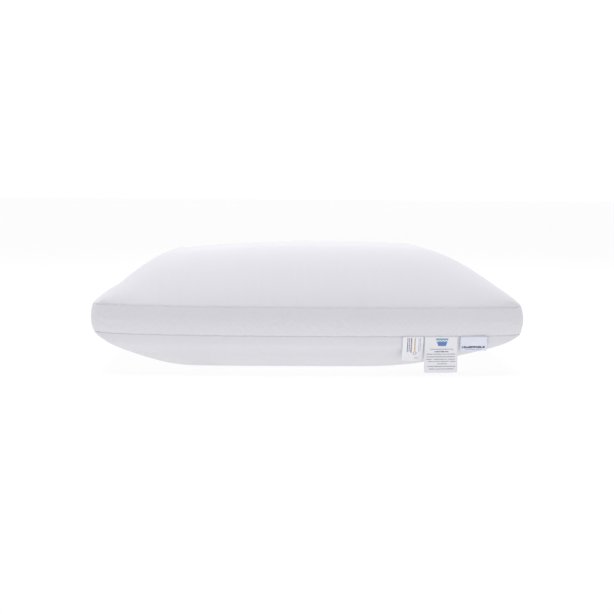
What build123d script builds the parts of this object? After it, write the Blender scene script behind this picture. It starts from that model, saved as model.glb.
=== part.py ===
"""Boxed bed pillow: two cloth panels joined by an upright side band, the gusset, round a fibre filling.

Three labels are sewn into the front of the lower seam. The pillow rests on the plane z = 0, with its
long sides along X, the labelled side facing -Y and the origin under its middle. Units are millimetres.
"""

import os
from math import pi, sin

from build123d import *

# Whole pillow
pillow_length = 720.0
pillow_width = 456.0
pillow_height = 200.0

# Side band between the two seams
gusset_height = 46.0
gusset_bulge = 4.0
lower_seam_z = 62.0
upper_seam_z = lower_seam_z + gusset_height

# Seam outline seen from above: each side bows outwards between rounded corners
seam_length = pillow_length - 2 * gusset_bulge
seam_width = pillow_width - 2 * gusset_bulge
long_side_bow = 11.0
short_side_bow = 4.0
corner_radius = 45.0
corner_growth = 0.45  # how fast the corners round off towards the crown
widest_corner = 0.92  # largest corner radius, as a share of the half width

# Cloth with the web of fibres that clings to it, and the gaps left between pieces
cloth = 1.5
panel_gap = 0.4
fill_gap = 1.5

# A panel's profile: rise = height * sin(90 degrees * share) ** power, over a run of slope * share.
# Slopes are the lengths of the run at the left end, at the right end and at both sides.
top_slopes, top_power = (160.0, 200.0, 165.0), 0.9
belly_slopes, belly_power = (130.0, 165.0, 107.0), 0.68
profile_shares = (0.0, 0.06, 0.15, 0.26, 0.38, 0.52, 0.67, 0.83, 1.0)

# Threads; the two strips of the gusset meet at opposite corners, on a line at join_angle to the X axis
join_angle = 28.0
thread_size = 1.2
thread_inset = 0.15
join_thread_width = 1.0
join_gap = 0.1
closing_length = 190.0

# Labels: middle in X, width, length, the ribbon's lean back under the pillow, and how far its top is set
# back behind the line that it swings about. The batch label is sewn in behind the certificate label.
label_thickness = 0.6
label_drop = 0.6  # from the seam thread down to the line that a label swings about
label_stand_off = 0.5  # from the seam thread outwards to that line
labels = {
    "certificate_label": (168.0, 34.0, 36.0, 24.0, 0.0),
    "batch_label": (168.0, 34.0, 45.0, 26.5, 0.9),
    "care_label": (213.5, 54.0, 59.4, 0.0, 0.0),
    "brand_label": (267.0, 44.0, 25.5, 24.0, 0.0),
}


def outline(z, inset_left, inset_right, inset_side):
    """Face at height z inside the seam outline, taken in by the insets at its two ends and at both sides."""
    half_x, half_y = (seam_length - inset_left - inset_right) / 2, seam_width / 2 - inset_side
    corner_x, corner_y = half_x - short_side_bow, half_y - long_side_bow
    growth = corner_growth * min(inset_left, inset_right, inset_side)
    radius = min(corner_radius + growth, widest_corner * corner_y)
    with BuildSketch(Plane(((inset_left - inset_right) / 2, 0, z))) as profile:
        with BuildLine():
            ThreePointArc((-corner_x, -corner_y), (0, -half_y), (corner_x, -corner_y))
            ThreePointArc((corner_x, -corner_y), (half_x, 0), (corner_x, corner_y))
            ThreePointArc((corner_x, corner_y), (0, half_y), (-corner_x, corner_y))
            ThreePointArc((-corner_x, corner_y), (-half_x, 0), (-corner_x, -corner_y))
        make_face()
        fillet(vertices(), radius)
    return profile.sketch


def even_outline(z, inset):
    """Face at height z inside the seam outline, taken in by the same inset all round."""
    return outline(z, inset, inset, inset)


def dome(base_z, rise, slopes, power, inset, mode=Mode.ADD):
    """Loft a panel's dome up (or down, if rise is negative) from base_z, taken in all round by inset."""
    rings = []
    for share in profile_shares:
        z = base_z + rise * sin(pi / 2 * share) ** power
        rings.append(outline(z, *(inset + slope * share for slope in slopes)))
    loft(rings, ruled=True, mode=mode)


def taken_in(full_rise, inward):
    """The rise of a surface that lies inward of a panel whose outside rises full_rise."""
    return full_rise - inward if full_rise > 0 else full_rise + inward


def panel(base_z, rise, slopes, power):
    """One cloth panel: a thin dome, open towards the filling."""
    inset = cloth + panel_gap
    dome(base_z, rise, slopes, power, inset)
    dome(base_z, taken_in(rise, cloth), slopes, power, inset + cloth, Mode.SUBTRACT)


def band(inset, mode=Mode.ADD):
    """The solid inside the gusset's outer surface, taken in by inset."""
    middle_z = (lower_seam_z + upper_seam_z) / 2
    heights_and_bulges = ((lower_seam_z, 0), (middle_z, gusset_bulge), (upper_seam_z, 0))
    loft([even_outline(z, inset - bulge) for z, bulge in heights_and_bulges], mode=mode)


def gusset_strip(from_offset, to_offset):
    """The part of the side band between two offsets from the line through its joins."""
    band(0)
    band(cloth, Mode.SUBTRACT)
    with Locations(Location((0, 0, pillow_height / 2), (0, 0, join_angle))):
        with Locations((0, (from_offset + to_offset) / 2)):
            Box(2 * pillow_length, to_offset - from_offset, 2 * pillow_height, mode=Mode.INTERSECT)


def seam_ring(z):
    """A square-section ring of thread that lies along a seam, from z upwards."""
    extrude(even_outline(z, thread_inset), amount=thread_size)
    extrude(even_outline(z, thread_inset + thread_size), amount=thread_size, mode=Mode.SUBTRACT)


def closing_stretch(mode):
    """Keep (or cut away) the stretch of the back seam that is stitched shut after the filling goes in."""
    with Locations((0, seam_width / 2, lower_seam_z)):
        Box(closing_length, 4 * long_side_bow, 4 * thread_size, mode=mode)


def label_line(middle_x):
    """Middle of the line that a label swings about, under the front seam, and the seam's direction there."""
    corner_x = seam_length / 2 - short_side_bow
    seam_y = seam_width / 2 - long_side_bow * (middle_x / corner_x) ** 2
    slope = 2 * long_side_bow * middle_x / corner_x**2
    middle = Vector(middle_x, thread_inset - label_stand_off - seam_y, lower_seam_z - thread_size - label_drop)
    return middle, Vector(1, slope, 0).normalized()


def label_plate(middle_x, label_width, label_length, lean, set_back):
    """A flat ribbon that hangs from the front of the lower seam."""
    middle, along = label_line(middle_x)
    top = middle + Vector(0, set_back, 0)
    down = Vector(0, 0, -1).rotate(Axis(top, along), lean)
    with BuildSketch(Plane(top, x_dir=along, z_dir=along.cross(down))) as ribbon:
        with Locations((0, label_length / 2)):
            Rectangle(label_width, label_length)
    extrude(ribbon.sketch, amount=label_thickness / 2, both=True)


def save(piece, name):
    """Label a finished piece and write its STEP file."""
    piece.part.label = name
    export_step(piece.part, f"parts/{name}.step")


os.makedirs("parts", exist_ok=True)
top_rise = pillow_height - upper_seam_z
reach = pillow_length

# Cloth casing
with BuildPart() as top_panel:
    panel(upper_seam_z, top_rise, top_slopes, top_power)
save(top_panel, "top_panel")

with BuildPart() as bottom_panel:
    panel(lower_seam_z, -lower_seam_z, belly_slopes, belly_power)
save(bottom_panel, "bottom_panel")

strip_end = join_thread_width / 2 + join_gap
with BuildPart() as gusset_front:
    gusset_strip(-reach, -strip_end)
save(gusset_front, "gusset_front")

with BuildPart() as gusset_back:
    gusset_strip(strip_end, reach)
save(gusset_back, "gusset_back")

# Threads
with BuildPart() as gusset_join_threads:
    gusset_strip(-join_thread_width / 2, join_thread_width / 2)
save(gusset_join_threads, "gusset_join_threads")

with BuildPart() as upper_seam_thread:
    seam_ring(upper_seam_z)
save(upper_seam_thread, "upper_seam_thread")

with BuildPart() as lower_seam_thread:
    seam_ring(lower_seam_z - thread_size)
    closing_stretch(Mode.SUBTRACT)
save(lower_seam_thread, "lower_seam_thread")

with BuildPart() as closing_seam_thread:
    seam_ring(lower_seam_z - thread_size)
    closing_stretch(Mode.INTERSECT)
save(closing_seam_thread, "closing_seam_thread")

# Filling, clear of the casing all round
with BuildPart() as fibre_fill:
    inset = 2 * cloth + panel_gap + fill_gap
    inward = cloth + fill_gap
    dome(upper_seam_z, taken_in(top_rise, inward), top_slopes, top_power, inset)
    dome(lower_seam_z, taken_in(-lower_seam_z, inward), belly_slopes, belly_power, inset)
    extrude(even_outline(lower_seam_z, inset), amount=gusset_height)
save(fibre_fill, "fibre_fill")

# Labels
for name, label_sizes in labels.items():
    with BuildPart() as label:
        label_plate(*label_sizes)
    save(label, name)
    middle, along = label_line(label_sizes[0])
    print(f"{name} swings about {middle} along {along}")
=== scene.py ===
"""Looks of the boxed bed pillow: stuffed cotton casing, stitched seams, sewn-in labels, floor, light, camera.

The casing is three grids of cloth points, for the top panel, the bottom panel and the gusset. They start in
the pillow's filled shape, and a cloth simulation lets each settle over the filling. Finer grids taken from
them get the turned seams, the gathers and the thickness of the cloth. The gusset is cut into two strips.
"""

import math
import random

import bpy
import numpy as np
from mathutils import Matrix, Vector


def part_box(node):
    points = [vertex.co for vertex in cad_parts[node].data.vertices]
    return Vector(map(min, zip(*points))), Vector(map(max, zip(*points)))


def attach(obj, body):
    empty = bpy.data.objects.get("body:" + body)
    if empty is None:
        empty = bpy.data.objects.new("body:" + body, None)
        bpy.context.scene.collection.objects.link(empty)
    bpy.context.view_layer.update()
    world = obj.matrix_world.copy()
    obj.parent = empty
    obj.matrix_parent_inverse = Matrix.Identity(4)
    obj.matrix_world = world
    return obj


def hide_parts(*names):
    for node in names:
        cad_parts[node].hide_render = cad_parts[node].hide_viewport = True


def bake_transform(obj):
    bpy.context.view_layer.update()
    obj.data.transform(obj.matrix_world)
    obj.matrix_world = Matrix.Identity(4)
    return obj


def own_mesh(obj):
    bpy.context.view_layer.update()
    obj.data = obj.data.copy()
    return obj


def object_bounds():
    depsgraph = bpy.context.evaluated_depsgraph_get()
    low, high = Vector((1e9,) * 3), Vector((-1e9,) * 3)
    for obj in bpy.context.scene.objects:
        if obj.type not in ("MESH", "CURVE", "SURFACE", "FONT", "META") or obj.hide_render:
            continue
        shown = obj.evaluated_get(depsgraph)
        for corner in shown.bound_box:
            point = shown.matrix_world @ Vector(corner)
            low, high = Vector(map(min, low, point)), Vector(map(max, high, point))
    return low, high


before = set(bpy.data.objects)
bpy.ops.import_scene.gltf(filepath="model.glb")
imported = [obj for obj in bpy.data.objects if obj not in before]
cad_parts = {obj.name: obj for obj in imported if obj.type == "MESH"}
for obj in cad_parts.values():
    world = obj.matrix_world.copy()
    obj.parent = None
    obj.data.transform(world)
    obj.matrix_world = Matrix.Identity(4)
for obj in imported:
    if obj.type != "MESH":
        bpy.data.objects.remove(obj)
cad_low, cad_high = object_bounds()

MM = 0.001
seed = 11

# Seams and outline, from the frame
lower_seam_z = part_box("bottom_panel")[1].z
upper_seam_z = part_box("top_panel")[0].z
crown_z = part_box("top_panel")[1].z
gusset_bulge = 4.0 * MM
half_length = cad_high.x - gusset_bulge
half_width = cad_high.y - gusset_bulge
long_side_bow = 11.0 * MM
short_side_bow = 4.0 * MM
corner_inset = 13.0 * MM  # how far each corner is rounded in, along X and along Y
# this power turns the outline smoothly from each side to the next
corner_power = half_length * half_width / ((half_length + half_width) * corner_inset)
corner_fullness = 2.2  # higher fills the corners of the panels out
left_lift, right_lift = 3.2 * MM, 0.9 * MM  # how far the seams rise towards the ends

# Filled shape: rise = height * sin(90 degrees * share of slope) ** power, in from each edge
crown_proud = 3.0 * MM  # how much higher the soft crown stands than its solid in the frame
crown_middle_x = 44.0 * MM
crown_fall_x = 12.6 * MM / (250.0 * MM) ** 2
crown_fall_y = 2.5 * MM
top_left_slope, top_left_power = 130.0 * MM, 1.15
top_right_slope, top_right_power = 174.0 * MM, 0.9
top_side_slope, top_side_power = 132.0 * MM, 0.9
belly_depth = 66.2 * MM
belly_left_slope, belly_left_power = 176.0 * MM, 0.83
belly_right_slope, belly_right_power = 267.0 * MM, 0.79
belly_side_slope, belly_side_power = 120.0 * MM, 0.51
belly_softness = 4.0 * MM  # rounding where the belly meets the surface under it

# Simulated cloth
columns, rows, gusset_rows = 160, 64, 10
edge_crowding = 0.35  # how much closer together the grid lines are next to a seam
gusset_spare = 0.004  # share of spare length in the gusset
gusset_hold = 0.25
hold_near, hold_far, hold_reach = 0.02, 0.25, 60.0 * MM  # from the seam in to the middle of a panel
stretch_stiffness, shear_stiffness, bending, hold_stiffness = 15.0, 5.0, 0.1, 2.0
cloth_quality, cloth_mass, air_damping = 5, 0.2, 4.0
pressure = 1.0
last_frame = 25
most_movement = 5.0 * MM

# Seams and cloth
cloth_thickness = 0.35 * MM
groove_depth = 0.9 * MM  # the turned seams pull in between two rolls of cloth
panel_roll, gusset_roll = 1.0 * MM, 2.0 * MM  # how far each roll reaches from the seam
pucker_depth, pucker_length, pucker_reach = 0.8 * MM, 15.0 * MM, 34.0 * MM
seam_waver, seam_waver_length, seam_waver_reach = 0.35 * MM, 52.0 * MM, 12.0 * MM
join_depth = 0.8  # depth of the gusset's own joins against the other seams
seam_thread_out, join_thread_out = 0.45, 0.3  # how far out of its groove a thread's middle sits, in widths
stitch_pitch, stitch_length, stitch_width = 3.0 * MM, 2.3 * MM, 0.55 * MM
stitch_sides = 6
stitch_unevenness = 0.03  # largest stray slope of a stitch
closing_length = 190.0 * MM  # hand-closed opening, middle of the back lower seam
filling_gap = 4.0 * MM

# Sewn-in ribbons: middle X, width, length, lean at the top and at the foot in degrees, set back, and the
# height over which they bend when they flap
certificate_size = (168.0 * MM, 34.0 * MM, 37.5 * MM, 5.0, 31.0, -0.7 * MM, 28.0 * MM)
batch_size = (168.0 * MM, 34.0 * MM, 46.5 * MM, 6.0, 32.0, 0.0, 28.0 * MM)
care_size = (213.5 * MM, 54.0 * MM, 60.5 * MM, 3.0, -2.0, -0.3 * MM, 46.0 * MM)
brand_size = (267.0 * MM, 44.0 * MM, 27.0 * MM, 6.0, 26.0, -0.4 * MM, 20.0 * MM)
ribbon_thickness = 0.22 * MM
ribbon_inset = 1.9 * MM  # how far in behind the seam line a ribbon starts

# Colours, light and camera
cotton_low, cotton_high = (0.71, 0.705, 0.743, 1.0), (0.75, 0.745, 0.783, 1.0)
high_light, level_light = (0.5, 0.5, 0.51), (1.02, 1.02, 1.03)
level_below, high_above = 0.3, 0.6  # heights, of 1 straight up, between which the surroundings change
lamp_power, lamp_place, lamp_size = 37.0, (-0.1, 0.5, 2.2), (2.4, 1.4)
floor_glow, floor_white, floor_reach = 0.82, 0.2, 40.0
pillow_middle = (0.0, 0.0, 0.1)
camera_distance, camera_turn, camera_elevation, camera_roll = 2.1375, 1.77, 5.21, 0.43
camera_lens = 70.07
camera_aim = (3.5 * MM, 0.0, 87.8 * MM)


# ---------------------------------------------------------------- small helpers

def smoothstep(low, high, value):
    """0 below low, 1 above high and smooth between, for numbers or arrays."""
    share = np.clip((value - low) / (high - low), 0.0, 1.0)
    return share * share * (3.0 - 2.0 * share)


def wander(position, wavelength, phase):
    """A smooth irregular wave between about -1 and 1 along a position, for numbers or arrays."""
    turn = 2.0 * math.pi * position / wavelength
    long_wave = 0.5 * np.sin(turn + phase)
    middle_wave = 0.3 * np.sin(1.73 * turn + 2.1 * phase)
    return long_wave + middle_wave + 0.2 * np.sin(2.91 * turn + 4.7 * phase)


def slope_rise(distance, slope, power):
    """Share of the full height reached at a distance in from the edge."""
    return np.sin(0.5 * math.pi * np.clip(distance / slope, 0.0, 1.0)) ** power


def joined_rise(ends, sides):
    """One smooth share of the full height, a little under the smaller of those of the ends and the sides."""
    power = corner_fullness
    return (np.maximum(ends, 1e-6) ** -power + np.maximum(sides, 1e-6) ** -power - 1.0) ** (-1.0 / power)


def lengths_to(line):
    """Distance travelled along a line of points, from its start to each point."""
    steps = np.linalg.norm(np.diff(line, axis=0), axis=1)
    return np.concatenate([[0.0], np.cumsum(steps)])


def rim_of(grid):
    """The values round the edge of a grid, as one closed loop from its first corner."""
    return np.concatenate([grid[:-1, 0], grid[-1, :-1], grid[:0:-1, -1], grid[0, :0:-1]])


def link(name, mesh):
    """Put a mesh into the scene as a new object."""
    made = bpy.data.objects.new(name, mesh)
    bpy.context.scene.collection.objects.link(made)
    return made


def mesh_from(name, points, faces, uvs=None):
    """Smooth mesh of points and faces; uvs holds one pair for each point."""
    mesh = bpy.data.meshes.new(name)
    mesh.from_pydata(points.tolist(), [], faces.tolist() if hasattr(faces, "tolist") else faces)
    mesh.polygons.foreach_set("use_smooth", np.ones(len(mesh.polygons), bool))
    if uvs is not None:
        corners = np.zeros(len(mesh.loops), np.int32)
        mesh.loops.foreach_get("vertex_index", corners)
        mesh.uv_layers.new(name="cloth").data.foreach_set("uv", uvs[corners].ravel().astype(np.float32))
    mesh.update()
    return mesh


def grid_faces(count_a, count_b, wrap_a=False):
    """Quads of a grid of count_a by count_b points, numbered a * count_b + b."""
    steps_a = count_a if wrap_a else count_a - 1
    a, b = np.meshgrid(np.arange(steps_a), np.arange(count_b - 1), indexing="ij")
    after = (a + 1) % count_a
    corners = (a * count_b + b, after * count_b + b, after * count_b + b + 1, a * count_b + b + 1)
    return np.stack(corners, -1).reshape(-1, 4)


# ---------------------------------------------------------------- filled shape

def crowded(count):
    """count + 1 values from -1 to 1, closer together near both ends."""
    even = np.linspace(-1.0, 1.0, count + 1)
    return (1.0 - edge_crowding) * even + edge_crowding * np.sin(0.5 * math.pi * even)


def plan(u, v):
    """X and Y of a point of the panel; u and v run from -1 to 1 between the seams."""
    rounding = corner_inset * np.abs(u * v) ** corner_power
    x = half_length * u - np.sign(u) * rounding - short_side_bow * u * v**2
    y = half_width * v - np.sign(v) * rounding - long_side_bow * v * u**2
    return x, y


def seam_lift(u):
    """How far both seams rise above their lowest stretch, towards the ends."""
    return np.where(u < 0, left_lift, right_lift) * u**2


def top_surface(u, v):
    """Height of the filled top panel."""
    x, y = plan(u, v)
    ends = np.where(
        u < 0,
        slope_rise(half_length * (1 + u), top_left_slope, top_left_power),
        slope_rise(half_length * (1 - u), top_right_slope, top_right_power),
    )
    sides = slope_rise(half_width * (1 - np.abs(v)), top_side_slope, top_side_power)
    fall = crown_fall_x * (x - crown_middle_x) ** 2 + crown_fall_y * v**2
    height = crown_z + crown_proud - upper_seam_z - fall
    return upper_seam_z + seam_lift(u) + height * joined_rise(ends, sides)


def belly_surface(u, v):
    """Height of the filled bottom panel, flattened where it rests."""
    ends = np.where(
        u < 0,
        slope_rise(half_length * (1 + u), belly_left_slope, belly_left_power),
        slope_rise(half_length * (1 - u), belly_right_slope, belly_right_power),
    )
    sides = slope_rise(half_width * (1 - np.abs(v)), belly_side_slope, belly_side_power)
    free = lower_seam_z + seam_lift(u) - belly_depth * joined_rise(ends, sides)
    return 0.5 * (free + np.sqrt(free**2 + belly_softness**2)) - 0.5 * (
        np.sqrt(lower_seam_z**2 + belly_softness**2) - lower_seam_z
    )


def boundary_index():
    """Grid indices (column, row) round the panel's edge: front, right end, back, left end."""
    front = [(i, 0) for i in range(columns)]
    right = [(columns, j) for j in range(rows)]
    back = [(i, rows) for i in range(columns, 0, -1)]
    left = [(0, j) for j in range(rows, 0, -1)]
    return np.array(front + right + back + left)


# ---------------------------------------------------------------- cloth simulation

def outward(ring):
    """Level unit vectors that point out of a closed ring of points."""
    along = np.roll(ring, -1, 0) - np.roll(ring, 1, 0)
    normal = np.stack([along[:, 1], -along[:, 0], np.zeros(len(ring))], -1)
    return normal / np.linalg.norm(normal, axis=1, keepdims=True)


def filled_grids():
    """The casing before it is simulated: top grid, bottom grid, and the gusset's rings from top to bottom."""
    u, v = np.meshgrid(crowded(columns), crowded(rows), indexing="ij")
    x, y = plan(u, v)
    top = np.stack([x, y, top_surface(u, v)], -1)
    bottom = np.stack([x, y, belly_surface(u, v)], -1)
    edge = boundary_index()
    upper, lower = top[edge[:, 0], edge[:, 1]], bottom[edge[:, 0], edge[:, 1]]
    share = np.linspace(0.0, 1.0, gusset_rows + 1)[None, :, None]
    gusset = upper[:, None] * (1 - share) + lower[:, None] * share
    gusset += gusset_bulge * np.sin(math.pi * share) * outward(upper)[:, None]
    return top, bottom, gusset


def flat_cut(grid):
    """The panel's flat pattern: its middle row and column laid out straight, its corners rounded."""
    lengths = []
    for line in (grid[:, grid.shape[1] // 2], grid[grid.shape[0] // 2]):
        along = lengths_to(line)
        lengths.append(along - 0.5 * along[-1])
    across, up = np.meshgrid(*lengths, indexing="ij")
    u, v = across / lengths[0][-1], up / lengths[1][-1]
    rounding = corner_inset * np.abs(u * v) ** corner_power
    return np.stack([across - np.sign(u) * rounding, up - np.sign(v) * rounding, np.zeros(u.shape)], -1)


def settle(name, grid, hold, cut=None, wrap=False, spare=0.0):
    """Simulate one cloth over the filling: hold is 1 where it is sewn down and small where it is free."""
    points = grid.reshape(-1, 3)
    cloth_object = link(name, mesh_from(name, points, grid_faces(*grid.shape[:2], wrap)))
    group = cloth_object.vertex_groups.new(name="hold")
    for index, weight in enumerate(hold.ravel()):
        group.add([index], float(weight), "REPLACE")
    cloth = cloth_object.modifiers.new("cloth", "CLOTH")
    settings = cloth.settings
    if cut is not None:
        cloth_object.shape_key_add(name="filled")
        pattern = cloth_object.shape_key_add(name="flat_cut")
        pattern.data.foreach_set("co", cut.ravel())
        settings.rest_shape_key = pattern
    settings.quality = cloth_quality
    settings.mass = cloth_mass
    settings.tension_stiffness = stretch_stiffness
    settings.compression_stiffness = stretch_stiffness
    settings.shear_stiffness = shear_stiffness
    settings.bending_stiffness = bending
    settings.air_damping = air_damping
    settings.vertex_group_mass = "hold"
    settings.pin_stiffness = hold_stiffness
    settings.shrink_min = -spare
    settings.use_pressure = True
    settings.uniform_pressure_force = pressure
    settings.effector_weights.gravity = 0.0
    cloth.collision_settings.use_collision = False
    cloth.point_cache.frame_start = 1
    cloth.point_cache.frame_end = last_frame
    scene = bpy.context.scene
    for step in range(1, last_frame + 1):
        scene.frame_set(step)
    evaluated = cloth_object.evaluated_get(bpy.context.evaluated_depsgraph_get())
    moved = np.zeros(points.size, np.float32)
    evaluated.data.vertices.foreach_get("co", moved)
    move = moved.reshape(-1, 3) - points
    bpy.data.objects.remove(cloth_object)
    scene.frame_set(1)
    distance = np.linalg.norm(move, axis=1, keepdims=True)
    return (points + move * np.minimum(1.0, most_movement / np.maximum(distance, 1e-9))).reshape(grid.shape)


def from_seams():
    """Distances in from the nearest end seam and the nearest side seam, for all points of a panel's grid."""
    u, v = np.meshgrid(crowded(columns), crowded(rows), indexing="ij")
    return half_length * (1 - np.abs(u)), half_width * (1 - np.abs(v))


def panel_hold():
    """How firmly each point of a panel's grid is held: sewn at the seam, pressed on the filling elsewhere."""
    from_seam = np.minimum(*from_seams())
    free = hold_near + (hold_far - hold_near) * smoothstep(0.0, hold_reach, from_seam)
    return np.where(from_seam < 0.1 * MM, 1.0, free)


def settled_grids():
    top, bottom, gusset = filled_grids()
    hold = np.full(gusset.shape[:2], gusset_hold)
    hold[:, 0] = hold[:, -1] = 1.0
    top = settle("top_simulated", top, panel_hold(), cut=flat_cut(top))
    bottom = settle("bottom_simulated", bottom, panel_hold(), cut=flat_cut(bottom))
    gusset = settle("gusset_simulated", gusset, hold, wrap=True, spare=gusset_spare)
    return top, bottom, gusset


# ---------------------------------------------------------------- finer cloth

def finer(values, positions, axis, wrap=False):
    """Smooth values between the lines of a grid, at fractional line positions along one axis."""
    values = np.moveaxis(values, axis, 0)
    count = len(values)
    if wrap:
        cell = np.floor(positions).astype(int)
        before, start, end, after = (values[(cell + step) % count] for step in (-1, 0, 1, 2))
    else:
        cell = np.clip(np.floor(positions).astype(int), 0, count - 2)
        ends = np.concatenate([2 * values[:1] - values[1:2], values, 2 * values[-1:] - values[-2:-1]])
        before, start, end, after = (ends[cell + 1 + step] for step in (-1, 0, 1, 2))
    t = (positions - cell).reshape(-1, *[1] * (values.ndim - 1))
    made = 0.5 * (
        2 * start
        + (end - before) * t
        + (2 * before - 5 * start + 4 * end - after) * t**2
        + (3 * start - before - 3 * end + after) * t**3
    )
    return np.moveaxis(made, 0, axis)


def finer_lines(count, step):
    """Line positions every step, with more of them next to both seams."""
    near = np.array([0.0, 0.12, 0.25, 0.4, 0.6, 0.8])
    inner = np.linspace(1.0, count - 1.0, int(round((count - 2) / step)) + 1)
    return np.concatenate([near, inner, count - near[::-1]])


def normals_of(grid, wrap=False):
    """Unit normals of a grid of points, along a cross along b."""
    if wrap:
        along_a = np.roll(grid, -1, 0) - np.roll(grid, 1, 0)
    else:
        along_a = np.gradient(grid, axis=0)
    normal = np.cross(along_a, np.gradient(grid, axis=1))
    return normal / np.maximum(np.linalg.norm(normal, axis=-1, keepdims=True), 1e-12)


def groove(distance, roll):
    """How far a turned seam pulls the cloth in at a distance from it."""
    return groove_depth * np.exp(-((np.maximum(distance, 0.0) / roll) ** 1.5))


def pucker(position, distance, phase):
    """Height of the small gathers that run in from a seam."""
    strength = 0.35 + 0.65 * wander(position, 17 * pucker_length, 1.3 * phase) ** 2
    small = 0.6 * wander(position, pucker_length, phase)
    large = 0.4 * wander(position, 2.3 * pucker_length, 2 * phase)
    rise = smoothstep(0.0, 3.0 * MM, distance)
    return pucker_depth * strength * (small + large) * (0.35 + 0.65 * rise) * np.exp(-distance / pucker_reach)


def waver(points):
    """Small rise and fall of the seam line, the same for both cloths that meet in it."""
    return seam_waver * (
        wander(points[..., 0], seam_waver_length, 0.7) + wander(points[..., 1], seam_waver_length, 2.9)
    )


def finished_panel(grid, up, phase):
    """A panel's outer surface with grooved, gathered seams; up is 1 for the top and -1 for the bottom."""
    lines_a, lines_b = finer_lines(columns, 0.5), finer_lines(rows, 0.5)
    ends, sides = (finer(finer(d, lines_a, 0), lines_b, 1) for d in from_seams())
    fine = finer(finer(grid, lines_a, 0), lines_b, 1)
    x, y = fine[..., 0].copy(), fine[..., 1].copy()
    seam_share = np.exp(-np.minimum(ends, sides) / seam_waver_reach)
    fine[..., 2] += waver(fine) * seam_share
    height = pucker(x, sides, phase + np.sign(y)) + pucker(y, ends, phase + 3 + np.sign(x))
    fine += up * normals_of(fine) * height[..., None]
    fine[..., 0] -= np.sign(x) * groove(ends, panel_roll)
    fine[..., 1] -= np.sign(y) * groove(sides, panel_roll)
    return fine


def finished_strip(gusset, first, last, phase):
    """One gusset strip's outer surface between two places on the ring, with grooves and gathers."""
    along = first + finer_lines(last - first, 1 / 3)
    down = finer_lines(gusset_rows, 1 / 3)
    fine = finer(finer(gusset, along, 0, wrap=True), down, 1)
    travelled = lengths_to(fine[:, fine.shape[1] // 2])
    width = np.linalg.norm(np.diff(fine, axis=1), axis=2)
    across = np.concatenate([np.zeros((len(fine), 1)), np.cumsum(width, axis=1)], axis=1)
    above, below = across, across[:, -1:] - across
    beside = np.minimum(travelled, travelled[-1] - travelled)[:, None]
    seam_share = np.exp(-np.minimum(above, below) / seam_waver_reach)
    fine[..., 2] += waver(fine) * seam_share
    out = outward_of_strip(fine)
    position = np.broadcast_to(travelled[:, None], above.shape)
    height = pucker(position, above, phase) + pucker(position, below, phase + 2)
    join = groove(beside, panel_roll) * smoothstep(0.0, 2.0 * gusset_roll, np.minimum(above, below))
    pulled_in = height - groove(above, gusset_roll) - groove(below, gusset_roll) - join_depth * join
    fine += out * pulled_in[..., None]
    uvs = np.stack([position, across], -1)
    return fine, uvs, (float(travelled[-1]), float(across[:, -1].mean()))


def outward_of_strip(fine):
    """Level unit vectors that point out of a strip."""
    along = np.gradient(fine[:, fine.shape[1] // 2], axis=0)
    normal = np.stack([along[:, 1], -along[:, 0], np.zeros(len(fine))], -1)
    return (normal / np.linalg.norm(normal, axis=1, keepdims=True))[:, None]


def cloth_piece(name, outer, uvs, thickness, flip=False):
    """A thin closed sheet from its outer grid of points."""
    count_a, count_b = outer.shape[:2]
    inner = outer - normals_of(outer) * thickness * (-1 if flip else 1)
    faces = grid_faces(count_a, count_b)
    offset = count_a * count_b
    loop = rim_of(np.arange(offset).reshape(count_a, count_b))
    after = np.roll(loop, -1)
    rim = np.stack([after, loop, loop + offset, after + offset], -1)
    every = np.concatenate([faces, faces[:, ::-1] + offset, rim])
    if flip:
        every = every[:, ::-1]
    points = np.concatenate([outer.reshape(-1, 3), inner.reshape(-1, 3)])
    return link(name, mesh_from(name, points, every, np.tile(uvs.reshape(-1, 2), (2, 1))))


def lengths_along(grid):
    """Flat coordinates of a grid, measured along its middle row and middle column."""
    along_a = lengths_to(grid[:, grid.shape[1] // 2])
    along_b = lengths_to(grid[grid.shape[0] // 2])
    flat = np.stack(np.meshgrid(along_a, along_b, indexing="ij"), -1)
    return flat, (float(along_a[-1]), float(along_b[-1]))


# ---------------------------------------------------------------- pieces of the casing

def stitch_row(name, path, pitch, length, width, slant=0.0):
    """Short thread stitches laid end to end along a path of points."""
    along = lengths_to(path)
    count = max(1, int(along[-1] / pitch))
    points, faces = [], []
    sides = stitch_sides
    profile = ((-0.5, 0.0), (-0.42, 0.75), (-0.15, 1.0), (0.15, 1.0), (0.42, 0.75), (0.5, 0.0))
    chance = random.Random(seed + count)
    for number in range(count):
        middle = (number + 0.5) * along[-1] / count
        ends = [middle - 0.5 * length, middle + 0.5 * length]
        start, end = (np.array([np.interp(e, along, path[:, k]) for k in range(3)]) for e in ends)
        forward = (end - start) / np.linalg.norm(end - start)
        forward[2] += slant + chance.uniform(-stitch_unevenness, stitch_unevenness)
        forward /= np.linalg.norm(forward)
        side = np.cross(forward, (0.0, 0.0, 1.0))
        side /= np.linalg.norm(side)
        top = np.cross(side, forward)
        centre = 0.5 * (start + end)
        base = len(points)
        for place, size in profile:
            for turn in range(sides):
                angle = 2 * math.pi * turn / sides
                ring = 0.5 * width * max(size, 0.15) * (math.cos(angle) * side + math.sin(angle) * top)
                points.append(centre + forward * place * length + ring)
        for ring in range(len(profile) - 1):
            for turn in range(sides):
                near, far = base + ring * sides, base + (ring + 1) * sides
                after = (turn + 1) % sides
                faces.append((near + turn, near + after, far + after, far + turn))
        faces.append(tuple(base + turn for turn in reversed(range(sides))))
        faces.append(tuple(base + (len(profile) - 1) * sides + turn for turn in range(sides)))
    return link(name, mesh_from(name, np.array(points), faces))


def seam_path(panel):
    """The bottom of the groove all round a panel, from the front left corner, just outside the cloth."""
    ring = rim_of(panel)
    return ring + outward(ring) * seam_thread_out * stitch_width


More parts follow.
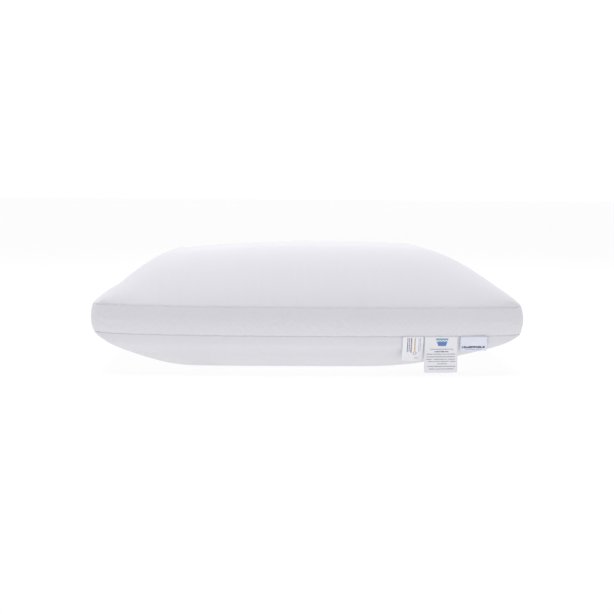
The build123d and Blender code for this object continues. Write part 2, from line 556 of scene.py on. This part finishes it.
def closed(path):
    """A ring of points with its first point again at the end."""
    return np.concatenate([path, path[:1]])


def joined(name, parts):
    """One object from several plain ones."""
    points, faces = [], []
    for part in parts:
        offset = len(points)
        points += [tuple(vertex.co) for vertex in part.data.vertices]
        faces += [tuple(offset + index for index in face.vertices) for face in part.data.polygons]
        bpy.data.objects.remove(part)
    return link(name, mesh_from(name, np.array(points), faces))


def filling(top, bottom, gusset):
    """The fibre fill: the casing's own shape, a little smaller and gently lumpy."""
    inset_top = top - normals_of(top) * filling_gap
    inset_bottom = bottom + normals_of(bottom) * filling_gap
    # the last row at each end of the top stands straight under the row next to it
    inset_top[[0, -1], :, :2] = inset_top[[1, -2], :, :2]
    edge = boundary_index()
    ring = gusset[:, 1:-1] - outward(gusset[:, gusset_rows // 2])[:, None] * filling_gap
    count, grid_size = len(edge), (columns + 1) * (rows + 1)
    index = np.arange(grid_size).reshape(columns + 1, rows + 1)
    on_top, on_bottom = index[edge[:, 0], edge[:, 1]], index[edge[:, 0], edge[:, 1]] + grid_size
    levels = [on_top]
    levels += [2 * grid_size + np.arange(count) * ring.shape[1] + level for level in range(ring.shape[1])]
    levels += [on_bottom]
    walls = []
    for high, low in zip(levels[:-1], levels[1:]):
        walls.append(np.stack([high, low, np.roll(low, -1), np.roll(high, -1)], -1))
    panel_faces = grid_faces(columns + 1, rows + 1)
    points = np.concatenate([inset_top.reshape(-1, 3), inset_bottom.reshape(-1, 3), ring.reshape(-1, 3)])
    middle = np.array([0.0, 0.0, lower_seam_z])
    lumps = wander(points[:, 0], 61 * MM, 0.4) * wander(points[:, 1], 53 * MM, 1.9)
    lumps *= wander(points[:, 2], 71 * MM, 3.1)
    points = middle + (points - middle) * (0.99 - 0.006 * (1 + lumps[:, None]))
    every = np.concatenate([panel_faces, panel_faces[:, ::-1] + grid_size, *walls])
    return link("fibre_filling", mesh_from("fibre_filling", points, every))


def ribbon(name, size):
    """A woven ribbon sewn into the front lower seam: out of the groove, over the roll under it and down."""
    middle, width, length, lean_top, lean_foot, set_back, bend_height = size
    across = np.linspace(-0.5, 0.5, 25) * width
    down = np.concatenate([np.linspace(0.0, 6.0, 13)[:-1] * MM, np.linspace(6.0 * MM, length, 30)])
    fine = np.linspace(0.0, length, 400)
    drop_share = smoothstep(0.0, 4.0 * MM, fine)
    lean = lean_top + (lean_foot - lean_top) * fine / length
    angle = np.radians(90.0 * drop_share + lean * drop_share)
    step = np.gradient(fine)
    out = -ribbon_inset - set_back + np.cumsum(np.cos(angle) * step)
    fall = np.cumsum(-np.sin(angle) * step)
    x = middle + across
    seam_y = -(half_width - long_side_bow * (x / half_length) ** 2)
    seam_z = lower_seam_z + seam_lift(x / half_length)
    slope = 2 * long_side_bow * middle / half_length**2
    facing = np.array([slope, -1.0]) / math.hypot(slope, 1.0)
    s, a = np.meshgrid(down, across)
    free = smoothstep(8.0 * MM, length, s)
    phase = 40.0 * middle  # so that no two ribbons ripple alike, apart from the two leaves
    long_wave = 0.7 * MM * np.sin(2 * math.pi * a / (1.6 * width) + phase)
    ripple = free * (long_wave + 0.35 * MM * wander(a, 21 * MM, phase))
    corner = smoothstep(0.35, 0.5, np.abs(a) / width) * smoothstep(0.6, 1.0, s / length)
    curl = 0.9 * MM * corner * math.cos(phase)
    outwards = np.interp(s, fine, out) + ripple + curl
    grid = np.stack(
        [
            x[:, None] + facing[0] * outwards,
            seam_y[:, None] + facing[1] * outwards,
            seam_z[:, None] + np.interp(s, fine, fall),
        ],
        -1,
    )
    uvs = np.stack([a + 0.5 * width, s], -1)
    return cloth_piece(name, grid, uvs, ribbon_thickness, flip=True)


# ---------------------------------------------------------------- materials

def add_node(tree, kind, **settings):
    """A new node with its plain settings."""
    made = tree.nodes.new(kind)
    for name, value in settings.items():
        setattr(made, name, value)
    return made


def feed(tree, socket, value):
    """Give a socket a number, a tuple or another node's output."""
    if isinstance(value, bpy.types.NodeSocket):
        tree.links.new(value, socket)
    else:
        socket.default_value = value


def calculate(tree, operation, *values):
    """Output of one math node."""
    made = add_node(tree, "ShaderNodeMath", operation=operation)
    for socket, value in zip(made.inputs, values):
        feed(tree, socket, value)
    return made.outputs[0]


def noise(tree, vector, scale, detail=2.0):
    """Noise between 0 and 1."""
    made = add_node(tree, "ShaderNodeTexNoise")
    feed(tree, made.inputs["Vector"], vector)
    made.inputs["Scale"].default_value = scale
    made.inputs["Detail"].default_value = detail
    return made.outputs[0]


def stretched(tree, vector, scale):
    """A vector multiplied by three numbers."""
    made = add_node(tree, "ShaderNodeVectorMath", operation="MULTIPLY")
    feed(tree, made.inputs[0], vector)
    made.inputs[1].default_value = scale
    return made.outputs[0]


def mixed(tree, share, first, second):
    """Colour between first and second."""
    made = add_node(tree, "ShaderNodeMix", data_type="RGBA")
    feed(tree, made.inputs[0], share)
    feed(tree, made.inputs[6], first)
    feed(tree, made.inputs[7], second)
    return made.outputs[2]


def bump(tree, height, distance, strength, under=None):
    """Bump normal from a height between 0 and 1 that stands for distance in metres."""
    made = add_node(tree, "ShaderNodeBump")
    made.inputs["Strength"].default_value = strength
    made.inputs["Distance"].default_value = distance
    feed(tree, made.inputs["Height"], height)
    if under is not None:
        tree.links.new(under, made.inputs["Normal"])
    return made.outputs[0]


def new_material(name, roughness, sheen, sheen_roughness, specular):
    """Material with its tree and shader; the even finish values sit on the shader itself."""
    made = bpy.data.materials.new(name)
    made.use_nodes = True
    shader = made.node_tree.nodes["Principled BSDF"]
    shader.inputs["Roughness"].default_value = roughness
    shader.inputs["Sheen Weight"].default_value = sheen
    shader.inputs["Sheen Roughness"].default_value = sheen_roughness
    shader.inputs["Specular IOR Level"].default_value = specular
    return made, made.node_tree, shader


def weave(tree, u, v, pitch):
    """Height of a plain weave: warp and weft threads that pass over each other in turn."""
    turn = math.pi / pitch
    warp = calculate(tree, "SINE", calculate(tree, "MULTIPLY", u, turn))
    weft = calculate(tree, "SINE", calculate(tree, "MULTIPLY", v, turn))
    over = calculate(tree, "MULTIPLY", warp, weft)
    return calculate(tree, "MULTIPLY_ADD", over, 0.5, 0.5)


def cloth_coordinates(tree):
    """The cloth's flat coordinates in metres: vector, u and v."""
    vector = add_node(tree, "ShaderNodeUVMap", uv_map="cloth").outputs[0]
    parts = add_node(tree, "ShaderNodeSeparateXYZ")
    tree.links.new(vector, parts.inputs[0])
    return vector, parts.outputs[0], parts.outputs[1]


def white_cotton():
    """Fine white percale: plain weave, a few thicker threads each way and very faintly uneven colour."""
    made, tree, shader = new_material("white_cotton", 0.8, 0.06, 0.5, 0.2)
    vector, u, v = cloth_coordinates(tree)
    slubs_along = noise(tree, stretched(tree, vector, (30.0, 1300.0, 1.0)), 1.0)
    slubs_across = noise(tree, stretched(tree, vector, (1300.0, 30.0, 1.0)), 1.0)
    slubs = calculate(tree, "ADD", slubs_along, slubs_across)
    cloudy = noise(tree, vector, 14.0, 3.0)
    shade = calculate(tree, "MULTIPLY_ADD", cloudy, 0.7, calculate(tree, "MULTIPLY", slubs, 0.15))
    tree.links.new(mixed(tree, shade, cotton_low, cotton_high), shader.inputs["Base Color"])
    crumple = noise(tree, vector, 60.0, 4.0)
    soft = bump(tree, crumple, 0.6 * MM, 0.25)
    thick = bump(tree, slubs, 0.05 * MM, 0.5, soft)
    threads = bump(tree, weave(tree, u, v, 0.42 * MM), 0.08 * MM, 0.6, thick)
    tree.links.new(threads, shader.inputs["Normal"])
    return made


def white_thread():
    """Twisted polyester sewing thread."""
    made, tree, shader = new_material("white_thread", 0.55, 0.15, 0.4, 0.4)
    place = add_node(tree, "ShaderNodeTexCoord").outputs["Object"]
    ply = add_node(tree, "ShaderNodeTexWave", bands_direction="DIAGONAL")
    tree.links.new(place, ply.inputs["Vector"])
    ply.inputs["Scale"].default_value = 900.0
    ply.inputs["Distortion"].default_value = 1.5
    colour = mixed(tree, ply.outputs[1], (0.74, 0.735, 0.76, 1), (0.86, 0.855, 0.88, 1))
    tree.links.new(colour, shader.inputs["Base Color"])
    tree.links.new(bump(tree, ply.outputs[1], 0.1 * MM, 0.6), shader.inputs["Normal"])
    return made


def polyester_fibre():
    """Loose white hollow fibre."""
    made, tree, shader = new_material("polyester_fibre", 0.9, 0.5, 0.6, 0.3)
    place = add_node(tree, "ShaderNodeTexCoord").outputs["Object"]
    tufts = noise(tree, place, 45.0, 5.0)
    strands = noise(tree, stretched(tree, place, (260.0, 900.0, 900.0)), 1.0, 4.0)
    colour = mixed(tree, tufts, (0.78, 0.78, 0.79, 1), (0.9, 0.9, 0.91, 1))
    tree.links.new(colour, shader.inputs["Base Color"])
    soft = bump(tree, tufts, 3.0 * MM, 0.8)
    tree.links.new(bump(tree, strands, 0.4 * MM, 0.7, soft), shader.inputs["Normal"])
    return made


def inside(tree, value, low, high):
    """1 where a value lies between two numbers, else 0."""
    return calculate(tree, "COMPARE", value, 0.5 * (low + high), 0.5 * (high - low))


def bars(tree, along, down, rows_of_ink, words):
    """Rows of generic bars, each (middle, half height, start, end) in mm; words breaks them up."""
    total = None
    for middle, half, start, end in rows_of_ink:
        within_height = inside(tree, down, (middle - half) * MM, (middle + half) * MM)
        within_length = inside(tree, along, start * MM, end * MM)
        row = calculate(tree, "MULTIPLY", within_height, within_length)
        total = row if total is None else calculate(tree, "MAXIMUM", total, row)
    return calculate(tree, "MULTIPLY", total, words)


def broken(tree, along, down, grain, gap_share=0.4):
    """Gaps like those between words, different in every row."""
    place = add_node(tree, "ShaderNodeCombineXYZ")
    tree.links.new(calculate(tree, "MULTIPLY", along, grain), place.inputs[0])
    tree.links.new(calculate(tree, "MULTIPLY", down, 0.4 * grain), place.inputs[1])
    return calculate(tree, "GREATER_THAN", noise(tree, place.outputs[0], 1.0, 1.0), gap_share)


def certificate_inks(tree, u, v):
    """Dark, golden and grey columns of bars and a small ring."""
    words = broken(tree, v, u, 900.0)
    dark = bars(tree, v, u, ((8.4, 0.8, 4, 30), (11.2, 0.6, 4, 28), (14.4, 0.95, 4, 30)), words)
    golden = bars(tree, v, u, ((20.2, 1.1, 4, 26),), words)
    grey = bars(tree, v, u, ((26.6, 0.6, 5, 29), (29.0, 0.6, 4, 27)), words)
    du = calculate(tree, "SUBTRACT", u, 20.5 * MM)
    dv = calculate(tree, "SUBTRACT", v, 30.5 * MM)
    far_squared = calculate(tree, "MULTIPLY_ADD", du, du, calculate(tree, "MULTIPLY", dv, dv))
    far = calculate(tree, "SQRT", far_squared)
    ring = inside(tree, far, 1.9 * MM, 3.2 * MM)
    return (
        ((0.03, 0.035, 0.09, 1), dark),
        ((0.55, 0.36, 0.12, 1), golden),
        ((0.33, 0.36, 0.45, 1), grey),
        ((0.45, 0.2, 0.1, 1), ring),
    )


def batch_inks(tree, u, v):
    """One faint mark near the foot."""
    mark = bars(tree, u, v, ((39.5, 0.8, 20, 27),), broken(tree, u, v, 900.0))
    return (((0.42, 0.42, 0.47, 1), mark),)


def care_inks(tree, u, v):
    """A generic blue wash-tub sign over rows of grey bars."""
    words = broken(tree, u, v, 800.0)
    grey_rows = (
        (22.3, 0.7, 9, 47),
        (30.3, 0.75, 3, 51),
        (34.6, 0.75, 3, 50),
        (38.6, 0.7, 3, 51),
        (42.2, 0.7, 5, 51),
        (46.0, 0.65, 20, 37),
        (50.2, 0.7, 5, 51),
        (54.4, 0.7, 7, 48),
    )
    bold = bars(tree, u, v, ((26.3, 0.95, 16, 39),), words)
    grey = bars(tree, u, v, grey_rows, words)
    wave = calculate(tree, "SINE", calculate(tree, "MULTIPLY", u, 2 * math.pi / (5.2 * MM)))
    water = calculate(tree, "MULTIPLY_ADD", wave, -0.9 * MM, v)
    half = calculate(tree, "MULTIPLY_ADD", v, -0.35, 12.2 * MM)
    tub_width = calculate(tree, "COMPARE", u, 28.5 * MM, half)
    tub = calculate(tree, "MULTIPLY", tub_width, inside(tree, v, 4.6 * MM, 17.0 * MM))
    wet = calculate(tree, "MULTIPLY", tub, calculate(tree, "GREATER_THAN", water, 9.6 * MM))
    rim = calculate(tree, "MULTIPLY", tub, calculate(tree, "LESS_THAN", water, 7.8 * MM))
    return (
        ((0.3, 0.3, 0.36, 1), grey),
        ((0.09, 0.09, 0.16, 1), bold),
        ((0.02, 0.12, 0.42, 1), wet),
        ((0.02, 0.36, 0.55, 1), rim),
    )


def brand_inks(tree, u, v):
    """A plain dark bar of broken print over a finer one."""
    bold = bars(tree, u, v, ((20.2, 2.0, 3, 41),), broken(tree, u, v, 480.0, 0.38))
    small = bars(tree, u, v, ((24.6, 0.55, 9, 36),), broken(tree, u, v, 1100.0))
    return (
        ((0.035, 0.05, 0.14, 1), bold),
        ((0.2, 0.22, 0.34, 1), small),
    )


def ribbon_material(name, colour, inks, roughness):
    """Woven polyester ribbon with ribs across it, faint unevenness and print."""
    made, tree, shader = new_material(name, roughness, 0.2, 0.4, 0.4)
    vector, u, v = cloth_coordinates(tree)
    patches = noise(tree, vector, 90.0, 2.0)
    darker = tuple(0.94 * part for part in colour) + (1.0,)
    face = mixed(tree, patches, darker, colour + (1.0,))
    for ink, mask in inks(tree, u, v):
        soaked = calculate(tree, "MULTIPLY", mask, 0.85)
        face = mixed(tree, soaked, face, ink)
    tree.links.new(face, shader.inputs["Base Color"])
    threads = bump(tree, weave(tree, u, v, 0.3 * MM), 0.05 * MM, 0.5)
    ribs = calculate(tree, "SINE", calculate(tree, "MULTIPLY", v, 2 * math.pi / (0.9 * MM)))
    tree.links.new(bump(tree, ribs, 0.03 * MM, 0.4, threads), shader.inputs["Normal"])
    return made


def floor_material():
    """Bright matt studio sweep."""
    made, tree, shader = new_material("studio_floor", 0.9, 0.0, 0.5, 0.1)
    place = add_node(tree, "ShaderNodeTexCoord").outputs["Object"]
    grain = noise(tree, place, 3.0, 3.0)
    colour = mixed(tree, grain, (floor_white,) * 3 + (1,), (1.03 * floor_white,) * 3 + (1,))
    tree.links.new(colour, shader.inputs["Base Color"])
    shader.inputs["Emission Color"].default_value = (1.0, 1.0, 1.0, 1.0)
    shader.inputs["Emission Strength"].default_value = floor_glow
    return made


# ---------------------------------------------------------------- build the pillow

def dress(piece, material, slot, *nodes):
    """Give a piece its material and let it stand for CAD nodes; slot is not used."""
    piece.data.materials.append(material)
    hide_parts(*nodes)
    return piece


top, bottom, gusset = settled_grids()
joins_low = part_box("gusset_join_threads")[0]
to_join = gusset[:, gusset_rows // 2, :2] - np.array([joins_low.x, joins_low.y])
half_ring = len(gusset) // 2
first_join = int(np.argmin(np.linalg.norm(to_join, axis=1))) - len(gusset)
second_join = first_join + half_ring

top_outer = finished_panel(top, 1, 0.6)
bottom_outer = finished_panel(bottom, -1, 1.7)
front_outer, front_uvs, _ = finished_strip(gusset, first_join, second_join, 0.9)
back_outer, back_uvs, strip_cut = finished_strip(gusset, second_join, second_join + half_ring, 2.4)
top_uvs, top_cut = lengths_along(top_outer)
bottom_uvs, bottom_cut = lengths_along(bottom_outer)

cotton = white_cotton()
thread = white_thread()

fill = dress(filling(top, bottom, gusset), polyester_fibre(), "polyester_fibre", "fibre_fill")
top_cloth = cloth_piece("top_cloth", top_outer, top_uvs, cloth_thickness)
bottom_cloth = cloth_piece("bottom_cloth", bottom_outer, bottom_uvs, cloth_thickness, flip=True)
gusset_front_cloth = cloth_piece("gusset_front_cloth", front_outer, front_uvs, cloth_thickness, flip=True)
gusset_back_cloth = cloth_piece("gusset_back_cloth", back_outer, back_uvs, cloth_thickness, flip=True)
dress(top_cloth, cotton, "white_cotton", "top_panel")
dress(bottom_cloth, cotton, "white_cotton", "bottom_panel")
dress(gusset_front_cloth, cotton, "white_cotton", "gusset_front")
dress(gusset_back_cloth, cotton, "white_cotton", "gusset_back")

upper_path = seam_path(top_outer)
lower_path = seam_path(bottom_outer)
closing = (np.abs(lower_path[:, 0]) < 0.5 * closing_length) & (lower_path[:, 1] > 0)
closing_start = int(np.argmax(closing))
closing_count = int(np.count_nonzero(closing))
round_rest = np.roll(lower_path, -(closing_start + closing_count - 1), axis=0)[: 2 - closing_count]
machine_stitch = (stitch_pitch, stitch_length, stitch_width)
upper_stitches = stitch_row("upper_seam_stitches", closed(upper_path), *machine_stitch)
lower_stitches = stitch_row("lower_seam_stitches", round_rest, *machine_stitch)
closing_stitches = stitch_row(
    "closing_seam_stitches",
    lower_path[closing],
    0.8 * stitch_pitch,
    0.75 * stitch_pitch,
    1.25 * stitch_width,
    slant=0.35,
)
strips = []
for name, strip in (("front", front_outer), ("back", back_outer)):
    lip = strip[0, 4:-4] + outward_of_strip(strip)[0] * join_thread_out * stitch_width
    strips.append(stitch_row(name + "_join", lip, *machine_stitch))
join_stitches = joined("gusset_join_stitches", strips)
dress(upper_stitches, thread, "white_thread", "upper_seam_thread")
dress(lower_stitches, thread, "white_thread", "lower_seam_thread")
dress(closing_stitches, thread, "white_thread", "closing_seam_thread")
dress(join_stitches, thread, "white_thread", "gusset_join_threads")

# the batch leaf hangs behind the certificate label and is listed with its body
ribbons = []
for name, body, size, colour, inks, roughness in (
    ("certificate", "certificate_label", certificate_size, (0.87, 0.865, 0.92), certificate_inks, 0.5),
    ("batch", "certificate_label", batch_size, (0.85, 0.845, 0.88), batch_inks, 0.5),
    ("care", "care_label", care_size, (0.86, 0.855, 0.9), care_inks, 0.45),
    ("brand", "brand_label", brand_size, (0.78, 0.8, 0.9), brand_inks, 0.4),
):
    width, length, bend_height = size[1], size[2], size[-1]
    made = ribbon(name + "_ribbon", size)
    woven = ribbon_material(name + "_ribbon", colour, inks, roughness)
    dress(made, woven, name + "_ribbon", name + "_label")
    ribbons.append((made, body, (width, length), bend_height))

for piece in (fill, bottom_cloth, gusset_front_cloth, gusset_back_cloth):
    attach(piece, "casing")
for piece in (upper_stitches, lower_stitches, closing_stitches, join_stitches):
    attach(piece, "casing")
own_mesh(fill)
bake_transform(top_cloth)
for made, body, cut, bend_height in ribbons:
    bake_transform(made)


# ---------------------------------------------------------------- floor, light and camera

def studio_floor():
    """A wide floor that runs to the horizon."""
    corners = ((-1, -1, 0), (1, -1, 0), (1, 1, 0), (-1, 1, 0))
    points = floor_reach * np.array(corners)
    made = link("studio_floor", mesh_from("studio_floor", points, np.array([[0, 1, 2, 3]])))
    made.location.z = -0.2 * MM
    made.data.materials.append(floor_material())


def studio_light():
    """White surroundings, brighter low down than overhead, and one large soft lamp above, a little behind."""
    world = bpy.data.worlds.new("studio")
    bpy.context.scene.world = world
    world.use_nodes = True
    tree = world.node_tree
    direction = add_node(tree, "ShaderNodeTexCoord").outputs["Generated"]
    parts = add_node(tree, "ShaderNodeSeparateXYZ")
    tree.links.new(direction, parts.inputs[0])
    height = add_node(tree, "ShaderNodeMapRange", interpolation_type="SMOOTHSTEP")
    tree.links.new(parts.outputs[2], height.inputs["Value"])
    height.inputs["From Min"].default_value = level_below
    height.inputs["From Max"].default_value = high_above
    colour = mixed(tree, height.outputs[0], level_light + (1.0,), high_light + (1.0,))
    tree.links.new(colour, tree.nodes["Background"].inputs["Color"])
    lamp = bpy.data.lights.new("softbox", "AREA")
    lamp.shape = "RECTANGLE"
    lamp.size, lamp.size_y = lamp_size
    lamp.energy = lamp_power
    holder = bpy.data.objects.new("softbox", lamp)
    bpy.context.scene.collection.objects.link(holder)
    holder.location = lamp_place
    towards = Vector(pillow_middle) - holder.location
    holder.rotation_euler = towards.to_track_quat("-Z", "Y").to_euler()


def studio_camera():
    """Camera a little above the pillow, turned very slightly from square on."""
    data = bpy.data.cameras.new("camera")
    data.sensor_width = 36.0
    data.lens = camera_lens
    made = bpy.data.objects.new("camera", data)
    bpy.context.scene.collection.objects.link(made)
    turn, up = math.radians(camera_turn), math.radians(camera_elevation)
    away = Vector((-math.cos(up) * math.sin(turn), -math.cos(up) * math.cos(turn), math.sin(up)))
    made.location = Vector(pillow_middle) + camera_distance * away
    facing = (Vector(camera_aim) - made.location).to_track_quat("-Z", "Y")
    roll = Matrix.Rotation(math.radians(camera_roll), 3, "Z")
    made.rotation_euler = (facing.to_matrix() @ roll).to_euler()
    bpy.context.scene.camera = made


studio_floor()
studio_light()
studio_camera()
bpy.context.scene.view_settings.view_transform = "Standard"
